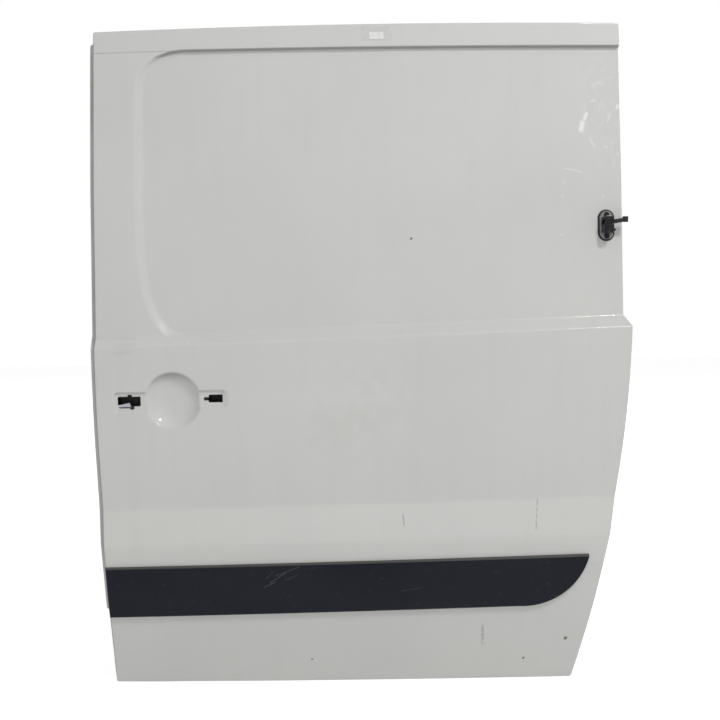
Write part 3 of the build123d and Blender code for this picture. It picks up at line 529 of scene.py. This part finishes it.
PRESSED_SHEETS = (
    ("inner_panel", 0.0007), ("intrusion_beam", 0.003), ("waist_rail", 0.003), ("upper_rail", 0.003),
)
FLANGE_GAP = 0.0003
inner_paint = worn(
    "inner_paint", (0.56, 0.56, 0.545), (0.47, 0.47, 0.455), 7.0, (0.42, 0.60), 0.0, 0.15, 0.55,
)
for name, width in PRESSED_SHEETS:
    made = finished(name, "door", "inner_paint", width)
    made.data.materials.append(inner_paint)
    for vert in made.data.vertices:
        along, height = vert.co.x - front_x, vert.co.z - bottom_z
        if 0 <= along <= rear_edge(height) and 0 <= height <= top_edge(along):
            vert.co.y = max(vert.co.y, face_y + skin_depth(along, height) + HEM + FLANGE_GAP)

# Handle carrier: a black moulded bridge of glass-filled plastic behind the cup, clipped to the skin.
# Its two feet stand against the pads, and a pale clip is left in the front pocket.
black_plastic = worn(
    "black_plastic", (0.012, 0.012, 0.014), (0.022, 0.022, 0.024), 30.0, (0.45, 0.62), 0.0, 0.3, 0.2, 700.0,
)
finished("handle_carrier", "door", "black_plastic", 0.0006).data.materials.append(black_plastic)

CLIP = ((0.0450, 0.6015), (0.0705, 0.6015), (0.0675, 0.6125), (0.0450, 0.6080))
clip_face = face_y + section_depth(0.055, 0.61, 0.0) + PAD_DEPTH + 0.0008
clip_mesh = bmesh.new()
corners = [clip_mesh.verts.new((front_x + x, clip_face, bottom_z + z)) for x, z in CLIP]
base = clip_mesh.faces.new(corners)
pulled = bmesh.ops.extrude_face_region(clip_mesh, geom=[base])
for vert in pulled["geom"]:
    if isinstance(vert, bmesh.types.BMVert):
        vert.co.y += 0.006
bmesh.ops.recalc_face_normals(clip_mesh, faces=clip_mesh.faces)
clip = piece("handle_clip", clip_mesh, "door", "black_plastic")
clip_plastic = worn("clip_plastic", (0.52, 0.51, 0.60), (0.42, 0.41, 0.48), 90.0, (0.4, 0.55), 0.0, 0.1)
clip.data.materials.append(clip_plastic)

# Side moulding: a slate thermoplastic strip with rounded edges, stuck and clipped to the lower skin.
# Its rear end sweeps up to a tip; the face has a fine grain, stone rash and pale scratches.
MOULD_FRONT = 0.001
MOULD_TIP = 0.994
MOULD_TOP = (0.270, 0.287)
MOULD_LOW = (0.156, 0.172)
MOULD_SWEEP_START = 0.855
MOULD_SWEEP_MID = (0.957, 0.211)
MOULD_PROUD = 0.010
MOULD_CROWN = 0.0012
MOULD_TUCK = 0.0006
MOULD_EDGE_BEND = 0.0055
mould_arc = arc_through((MOULD_TIP, MOULD_TOP[1]), MOULD_SWEEP_MID, (MOULD_SWEEP_START, MOULD_LOW[1]))


def mould_top(along):
    """Height of the moulding's top edge."""
    return MOULD_TOP[0] + (MOULD_TOP[1] - MOULD_TOP[0]) * (along - MOULD_FRONT) / (MOULD_TIP - MOULD_FRONT)


def mould_low(along):
    """Height of the moulding's lower edge: straight, then swept up along an arc to the tip."""
    if along <= MOULD_SWEEP_START:
        share = (along - MOULD_FRONT) / (MOULD_SWEEP_START - MOULD_FRONT)
        return MOULD_LOW[0] + (MOULD_LOW[1] - MOULD_LOW[0]) * share
    return mould_arc[1] - sqrt(max(mould_arc[2] ** 2 - (along - mould_arc[0]) ** 2, 0.0))


mould_columns = places(((0.002, 3), (0.008, 5), (0.85, 70), (0.955, 24), (0.986, 14), (0.993, 8)))
mould_rows = places(((0.02, 3), (0.06, 5), (0.94, 14), (0.98, 5), (1.0, 3)))
mould_mesh = bmesh.new()
bmesh.ops.create_grid(mould_mesh, x_segments=len(mould_columns) - 1, y_segments=len(mould_rows) - 1, size=0.5)
for vert in mould_mesh.verts:
    along = MOULD_FRONT + mould_columns[round((vert.co.x + 0.5) * (len(mould_columns) - 1))]
    share = mould_rows[round((vert.co.y + 0.5) * (len(mould_rows) - 1))]
    low, high = mould_low(along), mould_top(along)
    height = low + (high - low) * share
    edge = min(along - MOULD_FRONT, height - low, high - height)
    swell = sqrt(max(1 - (1 - min(edge / MOULD_EDGE_BEND, 1.0)) ** 2, 0.0))
    crown = MOULD_CROWN * (1 - (2 * share - 1) ** 2)
    proud = (MOULD_PROUD - MOULD_CROWN) * swell + crown
    if swell == 0:
        proud -= MOULD_TUCK
    vert.co = (front_x + along, face_y + skin_depth(along, height) - proud, bottom_z + height)
if sum(face.normal.y for face in mould_mesh.faces) > 0:
    bmesh.ops.reverse_faces(mould_mesh, faces=mould_mesh.faces)
for face in mould_mesh.faces:
    face.smooth = True
mould = piece("side_moulding_strip", mould_mesh, "door", "slate_plastic", "side_moulding")

slate, tree, shader, coords = material("slate_plastic")
rash = noise(tree, coords, 90.0, 5.0)
blotch = span(tree, noise(tree, coords, 6.0, 5.0, (0.4, 1, 1)), 0.4, 0.7)
tone = over(tree, (0.0070, 0.0090, 0.0150, 1), (0.0115, 0.0140, 0.0210), blotch)
tone = over(tree, tone, (0.050, 0.050, 0.055), times(tree, span(tree, rash, 0.62, 0.72), 0.25))
SCRATCHES = (
    ((0.327, 0.226), (0.352, 0.238), 0.0012), ((0.340, 0.236), (0.372, 0.258), 0.0016),
    ((0.352, 0.252), (0.401, 0.271), 0.0013), ((0.332, 0.246), (0.349, 0.262), 0.0010),
    ((0.376, 0.243), (0.398, 0.254), 0.0011), ((0.610, 0.214), (0.652, 0.221), 0.0009),
)
for start, end, width in SCRATCHES:
    mark = times(tree, stroke(tree, coords, start, end, width), span(tree, rash, 0.35, 0.55, 0.3, 1.0))
    tone = over(tree, tone, (0.150, 0.155, 0.165), times(tree, mark, 0.28))
# painted highlight: the moulding's faces that point up, along its top edge, are made lighter
facing = add(tree, "ShaderNodeNewGeometry").outputs["Normal"]
up = add(tree, "ShaderNodeSeparateXYZ", {0: facing}).outputs["Z"]
tone = over(tree, tone, (0.180, 0.175, 0.160), times(tree, span(tree, up, 0.35, 0.9), 0.45))
tree.links.new(tone, shader.inputs["Base Color"])
tree.links.new(span(tree, rash, 0.3, 0.7, 0.36, 0.48), shader.inputs["Roughness"])
shader.inputs["Specular IOR Level"].default_value = 0.20
grain = noise(tree, coords, 900.0, 2.0)
leather = add(tree, "ShaderNodeBump", {"Strength": 0.25, "Distance": 0.0004, "Height": grain})
tree.links.new(leather.outputs[0], shader.inputs["Normal"])
mould.data.materials.append(slate)

# Centre hinge: a rubber gasket and an oval plate of dull grey steel, bolted through the skin near the
# rear edge, with a cast fork, a plated pin and a short arm that swings on it.
black_rubber = worn(
    "black_rubber", (0.014, 0.014, 0.014), (0.030, 0.030, 0.029), 50.0, (0.7, 0.9), 0.0, 0.3, 0.3, 500.0,
)
zinc = worn(
    "plated_steel", (0.46, 0.46, 0.45), (0.30, 0.29, 0.27), 45.0, (0.32, 0.55), 0.85, 0.15, 0.2, 260.0,
)
dark_cast = worn(
    "dark_cast", (0.012, 0.012, 0.015), (0.026, 0.025, 0.027), 60.0, (0.40, 0.6), 0.2, 0.4, 0.1, 380.0,
)
finished("hinge_gasket", "door", "black_rubber", 0.0006).data.materials.append(black_rubber)
phosphate = worn(
    "hinge_plate_steel", (0.300, 0.300, 0.310), (0.160, 0.158, 0.160), 120.0, (0.45, 0.6),
    0.3, 0.3, 0.1, 500.0,
)
finished("hinge_plate", "door", "plated_steel", 0.0010).data.materials.append(phosphate)
finished("hinge_yoke", "door", "dark_cast", 0.0018).data.materials.append(dark_cast)
finished("hinge_pin", "door", "plated_steel", 0.0006).data.materials.append(zinc)
arm = finished("hinge_arm", "hinge_arm", "dark_cast", 0.0026)
arm.data.materials.append(dark_cast)
arm_low, arm_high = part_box("hinge_arm")
ARM_EYE = 0.011
ARM_RISE = 0.004
for vert in arm.data.vertices:
    share = (vert.co.x - arm_low[0]) / (arm_high[0] - ARM_EYE - arm_low[0])
    if share < 1:
        vert.co.z += ARM_RISE * max(share - 0.3, 0.0)


def bolts(name, body, spots, axis, across, high, washer):
    """Hexagon bolt heads with washers, standing on places and facing along an axis."""
    shape = bmesh.new()
    turn = Vector(axis).to_track_quat("Z", "Y").to_matrix().to_4x4()
    for spot in spots:
        seat = Matrix.Translation(spot) @ turn
        for sides, radius, low, top in (
            (24, washer, -0.0004, 0.0012), (6, across / 1.732, 0.0012, 0.0012 + high),
        ):
            made = bmesh.ops.create_cone(
                shape, cap_ends=True, segments=sides, radius1=radius, radius2=radius, depth=top - low,
                matrix=seat @ Matrix.Translation((0, 0, (low + top) / 2)),
            )
            edges = list({edge for vert in made["verts"] for edge in vert.link_edges})
            bmesh.ops.bevel(
                shape, geom=edges, offset=0.0004, offset_type="OFFSET", segments=2, profile=0.5,
                affect="EDGES", clamp_overlap=True, material=-1,
            )
    made = piece(name, shape, body, "plated_steel")
    made.data.materials.append(zinc)
    return made


plate_low, plate_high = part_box("hinge_plate")
plate_middle = (plate_low + plate_high) / 2
PLATE_LEAN = (SECTION[7][1] - SECTION[6][1]) / (SECTION[7][0] - SECTION[6][0])
outwards = Vector((0.021, -1.0, PLATE_LEAN)).normalized()
upwards = Vector((0, PLATE_LEAN, 1.0)).normalized()
bolts(
    "hinge_bolts", "door",
    [plate_middle + upwards * lift + outwards * 0.0012 for lift in (0.0215, -0.0225)],
    outwards, 0.0075, 0.0028, 0.0052,
).data.materials[0] = dark_cast

# Latches: zinc-plated plates on the shut faces, each with a housing behind and a fork claw in its notch.
# Two countersunk screws hold each plate.
for name, side in (("front_latch", -1), ("rear_latch", 1)):
    finished(name, "door", "plated_steel", 0.0008).data.materials.append(zinc)
    low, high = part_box(name)
    face_x = low[0] if side < 0 else high[0]
    middle_y, middle_z = (low[1] + high[1]) / 2, (low[2] + high[2]) / 2
    claw_mesh = bmesh.new()
    bmesh.ops.create_cone(
        claw_mesh, cap_ends=True, segments=28, radius1=0.0125, radius2=0.0125, depth=0.006,
        matrix=Matrix.Translation((face_x - side * 0.008, middle_y, middle_z))
        @ Matrix.Rotation(pi / 2, 4, "X"),
    )
    bmesh.ops.bisect_plane(
        claw_mesh, geom=claw_mesh.verts[:] + claw_mesh.edges[:] + claw_mesh.faces[:], clear_outer=True,
        plane_co=(0, 0, middle_z + 0.0085), plane_no=(0, 0, 1),
    )
    bmesh.ops.bisect_plane(
        claw_mesh, geom=claw_mesh.verts[:] + claw_mesh.edges[:] + claw_mesh.faces[:], clear_inner=True,
        plane_co=(0, 0, middle_z - 0.0085), plane_no=(0, 0, 1),
    )
    bmesh.ops.holes_fill(claw_mesh, edges=claw_mesh.edges, sides=0)
    bmesh.ops.recalc_face_normals(claw_mesh, faces=claw_mesh.faces)
    claw = piece(name + "_claw", claw_mesh, "door", "dark_steel")
    claw.data.materials.append(dark_cast)
    bolts(
        name + "_screws", "door", [(face_x, middle_y, middle_z + lift) for lift in (0.038, -0.038)],
        (side, 0, 0), 0.009, 0.003, 0.0075,
    )

# Locators and stops: tapered steel pins on the front shut face that centre the door as it closes,
# and moulded rubber buffers on the rear shut face.
for name in ("upper_locator", "lower_locator"):
    finished(name, "door", "plated_steel", 0.0012).data.materials.append(zinc)
    low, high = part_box(name)
    seat_x = high[0] - 0.003
    bolts(
        name + "_bolts", "door",
        [(seat_x, (low[1] + high[1]) / 2, (low[2] + high[2]) / 2 + lift) for lift in (0.0165, -0.0165)],
        (-1, 0, 0), 0.007, 0.003, 0.0055,
    )
for name in ("upper_bump_stop", "lower_bump_stop"):
    finished(name, "door", "black_rubber", 0.0018).data.materials.append(black_rubber)

# Lower roller arm: a welded steel bracket, black-coated, bolted to the inner panel low at the front.
# A load roller stands on its post and two guide rollers lie at its tip; the tyres are worn nylon.
dark_steel = worn(
    "dark_steel", (0.026, 0.026, 0.028), (0.085, 0.060, 0.042), 28.0, (0.42, 0.68), 0.5, 0.25, 0.45, 240.0,
)
nylon = worn(
    "roller_plastic", (0.44, 0.43, 0.40), (0.27, 0.26, 0.24), 60.0, (0.35, 0.5), 0.0, 0.1, 0.3, 200.0,
)
finished("lower_roller_arm", "door", "dark_steel", 0.0012).data.materials.append(dark_steel)
for name in ("load_roller", "front_guide_roller", "rear_guide_roller", "upper_roller"):
    finished(name, "door", "roller_plastic", 0.0008).data.materials.append(nylon)
low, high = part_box("lower_roller_arm")
ARM_BOLTS = ((0.009, 0.078), (0.046, 0.066), (0.083, 0.078), (0.046, 0.080))
base_y = low[1] + 0.005
bolts(
    "lower_arm_bolts", "door",
    [(low[0] + reach, base_y, low[2] + lift) for reach, lift in ARM_BOLTS],
    (0, 1, 0), 0.010, 0.0055, 0.0085,
)

# Upper roller bracket: a smaller steel bracket of the same finish on the leaning top of the inner panel.
finished("upper_roller_bracket", "door", "dark_steel", 0.0010).data.materials.append(dark_steel)
low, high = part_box("upper_roller_bracket")
INNER_LEAN = (0.150 - 0.096) / (1.356 - 0.700)
bracket_out = Vector((0, 1.0, -INNER_LEAN)).normalized()
bracket_face = face_y + 0.096 + (1.298 - 0.700) * INNER_LEAN + 0.005
bolts(
    "upper_bracket_bolts", "door",
    [(low[0] + reach, bracket_face, bottom_z + 1.298) for reach in (0.011, 0.073)],
    bracket_out, 0.010, 0.0050, 0.0080,
)

# Blanking plugs: black press-in caps that close the holes under the waist of the inner panel.
for name in ("front_plug", "middle_plug", "rear_plug"):
    finished(name, "door", "black_plastic", 0.0012).data.materials.append(black_plastic)

# Label and tape: a small blank paper label under a strip of clear tape, stuck on the top strip.
LABEL = (0.557, 0.586, 1.332, 1.346)
TAPE = (0.541, 0.601, 1.329, 1.358)
paper = worn("label_paper", (0.80, 0.80, 0.79), (0.74, 0.74, 0.72), 160.0, (0.6, 0.8), 0.0, 0.1, 0.0)
film, tree, shader, coords = material("clear_tape")
shader.inputs["Base Color"].default_value = (0.74, 0.74, 0.72, 1)
tree.links.new(span(tree, noise(tree, coords, 60.0, 2.0), 0.3, 0.7, 0.10, 0.22), shader.inputs["Alpha"])
tree.links.new(span(tree, noise(tree, coords, 60.0, 3.0), 0.3, 0.7, 0.28, 0.40), shader.inputs["Roughness"])
STICKERS = (("label", LABEL, 0.0002, paper), ("label_tape", TAPE, 0.0004, film))
for name, (low, high, bottom, top), lift, cover in STICKERS:
    sticker = bmesh.new()
    bmesh.ops.create_grid(sticker, x_segments=16, y_segments=12, size=0.5)
    for vert in sticker.verts:
        along = low + (high - low) * (vert.co.x + 0.5)
        height = bottom + (min(top, top_edge(along) - 0.003) - bottom) * (vert.co.y + 0.5)
        curl = 0.0004 * max(0.0, 2 * abs(vert.co.x) - 0.7)
        vert.co = (front_x + along, face_y + skin_depth(along, height) - lift - curl, bottom_z + height)
    if sum(face.normal.y for face in sticker.faces) > 0:
        bmesh.ops.reverse_faces(sticker, faces=sticker.faces)
    for face in sticker.faces:
        face.smooth = True
    piece(name, sticker, "door", "body_paint").data.materials.append(cover)

# Camera: level with the middle of the door, a little above it, as in the photograph.
CAMERA_PITCH = radians(6.2)
CAMERA_ROLL = radians(0.75)
CAMERA_DISTANCE = 1.760
FOCAL_PIXELS = 889.0
target = Vector((front_x + MIDDLE, -0.191, bottom_z + 0.6944))
forward = Vector((0, cos(CAMERA_PITCH), -sin(CAMERA_PITCH)))
level_up = Vector((0, sin(CAMERA_PITCH), cos(CAMERA_PITCH)))
right = Vector((cos(CAMERA_ROLL), 0, 0)) - level_up * sin(CAMERA_ROLL)
up = Vector((sin(CAMERA_ROLL), 0, 0)) + level_up * cos(CAMERA_ROLL)
camera_data = bpy.data.cameras.new("camera")
camera_data.sensor_width = 36
camera_data.lens = 36 * FOCAL_PIXELS / 720
camera = bpy.data.objects.new("camera", camera_data)
place = target - forward * CAMERA_DISTANCE
camera.matrix_world = Matrix(
    (
        (right.x, up.x, -forward.x, place.x),
        (right.y, up.y, -forward.y, place.y),
        (right.z, up.z, -forward.z, place.z),
        (0, 0, 0, 1),
    )
)
bpy.context.scene.collection.objects.link(camera)
bpy.context.scene.camera = camera

# Light and floor: soft daylight all round, one lamp high in front at the right that gives the glints,
# a wide fill from the front, a white surround for the camera and a pale floor that keeps the shadow.
world = bpy.data.worlds.new("daylight")
bpy.context.scene.world = world
world.use_nodes = True
tree = world.node_tree
backdrop = tree.nodes["Background"]
ray = add(tree, "ShaderNodeLightPath")
direction = add(tree, "ShaderNodeTexCoord").outputs["Generated"]
sky_z = add(tree, "ShaderNodeSeparateXYZ", {0: direction}).outputs["Z"]
sky = span(tree, sky_z, -0.2, 0.9, 0.23, 0.54)
strength = add(tree, "ShaderNodeMix", {0: ray.outputs["Is Camera Ray"], 2: sky, 3: 1.0}, data_type="FLOAT")
tree.links.new(strength.outputs[0], backdrop.inputs["Strength"])
backdrop.inputs["Color"].default_value = (1, 1, 1, 1)
LAMPS = (
    ("sun_patch", 88, 0.6, (1.75, -2.60, 3.60), True),
    ("front_fill", 41, 1.4, (0.00, -4.60, -0.05), False),
    ("back_fill", 60, 2.4, (0.60, 4.60, 1.20), False),
)
for name, energy, size, offset, glossy in LAMPS:
    lamp_data = bpy.data.lights.new(name, "AREA")
    lamp_data.energy = energy
    lamp_data.size = size
    lamp = bpy.data.objects.new(name, lamp_data)
    lamp.location = target + Vector(offset)
    lamp.rotation_euler = (-Vector(offset)).to_track_quat("-Z", "Y").to_euler()
    lamp.visible_glossy = glossy
    bpy.context.scene.collection.objects.link(lamp)

floor_mesh = bmesh.new()
bmesh.ops.create_grid(floor_mesh, x_segments=1, y_segments=1, size=6.0)
floor_data = bpy.data.meshes.new("floor")
floor_mesh.to_mesh(floor_data)
floor_mesh.free()
floor = bpy.data.objects.new("floor", floor_data)
floor.location = (0, 0, bottom_z - 0.001)
bpy.context.scene.collection.objects.link(floor)
pale, tree, shader, coords = material("pale_floor")
shader.inputs["Roughness"].default_value = 0.9
glow = add(tree, "ShaderNodeLightPath").outputs["Is Camera Ray"]
tree.links.new(over(tree, (0.85, 0.85, 0.85, 1), (0.90, 0.90, 0.90), glow), shader.inputs["Base Color"])
shader.inputs["Emission Color"].default_value = (1, 1, 1, 1)
tree.links.new(times(tree, glow, 0.53), shader.inputs["Emission Strength"])
floor_data.materials.append(pale)
bpy.context.scene.view_settings.view_transform = "Standard"
